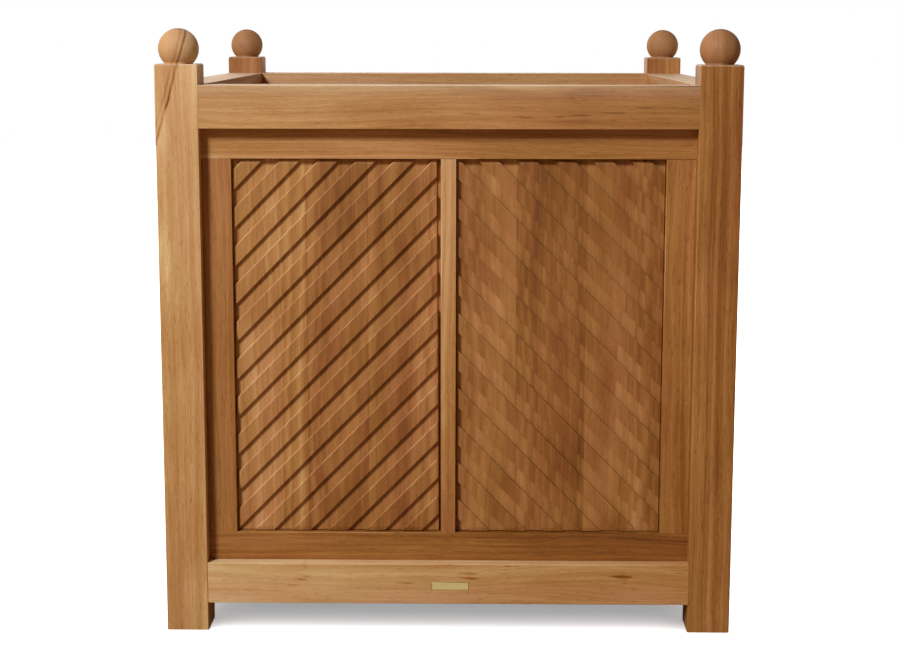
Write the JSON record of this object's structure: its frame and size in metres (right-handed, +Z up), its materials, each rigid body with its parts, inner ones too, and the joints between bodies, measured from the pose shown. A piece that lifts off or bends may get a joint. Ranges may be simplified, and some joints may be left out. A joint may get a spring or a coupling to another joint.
{
  "type": "versailles planter",
  "caption": "Square wooden planter on post feet with ball finials, framed sides with carved slanting strips, and a loose slatted floor.",
  "frame": {"origin": "on the ground under the middle of the planter", "axes": "+Z up, the side with the small plate faces -Y, +X to the right seen from that side"},
  "size_m": [0.61, 0.61, 0.6468],
  "materials": {
    "post_teak": "planed and oiled teak, grain along the post",
    "rail_teak": "planed and oiled teak, grain along the rail",
    "frame_teak": "planed and oiled teak",
    "panel_teak": "carved teak boards with upright grain",
    "floor_teak": "sawn and lightly planed teak",
    "dowel_beech": "turned beech, hidden in the joints",
    "screw_steel": "bright stainless steel",
    "plate_brass": "satin rolled brass, bare"
  },
  "bodies": {
    "planter": {"post_front_left": "post_teak", "post_front_right": "post_teak", "post_back_right": "post_teak", "post_back_left": "post_teak", "top_rail_front": "rail_teak", "top_rail_right": "rail_teak", "top_rail_back": "rail_teak", "top_rail_left": "rail_teak", "bottom_rail_front": "rail_teak", "bottom_rail_right": "rail_teak", "bottom_rail_back": "rail_teak", "bottom_rail_left": "rail_teak", "frame_top_front": "frame_teak", "frame_top_right": "frame_teak", "frame_top_back": "frame_teak", "frame_top_left": "frame_teak", "frame_bottom_front": "frame_teak", "frame_bottom_right": "frame_teak", "frame_bottom_back": "frame_teak", "frame_bottom_left": "frame_teak", "left_stile_front": "frame_teak", "left_stile_right": "frame_teak", "left_stile_back": "frame_teak", "left_stile_left": "frame_teak", "right_stile_front": "frame_teak", "right_stile_right": "frame_teak", "right_stile_back": "frame_teak", "right_stile_left": "frame_teak", "mullion_front": "frame_teak", "mullion_right": "frame_teak", "mullion_back": "frame_teak", "mullion_left": "frame_teak", "left_panel_front": "panel_teak", "left_panel_right": "panel_teak", "left_panel_back": "panel_teak", "left_panel_left": "panel_teak", "right_panel_front": "panel_teak", "right_panel_right": "panel_teak", "right_panel_back": "panel_teak", "right_panel_left": "panel_teak", "dowels_front": "dowel_beech", "dowels_right": "dowel_beech", "dowels_back": "dowel_beech", "dowels_left": "dowel_beech", "left_cleat": "floor_teak", "right_cleat": "floor_teak", "cleat_screws": "screw_steel", "name_plate": "plate_brass"},
    "loose_floor": {"floor_slat_1": "floor_teak", "floor_slat_2": "floor_teak", "floor_slat_3": "floor_teak", "floor_slat_4": "floor_teak", "floor_slat_5": "floor_teak", "floor_slat_6": "floor_teak", "left_batten": "floor_teak", "right_batten": "floor_teak", "floor_screws": "screw_steel"}
  },
  "joints": [
    {"name": "floor_lift", "type": "slide", "parent": "planter", "child": "loose_floor", "axis": [0, 0, 1], "range_m": [0, 0.62]}
  ]
}
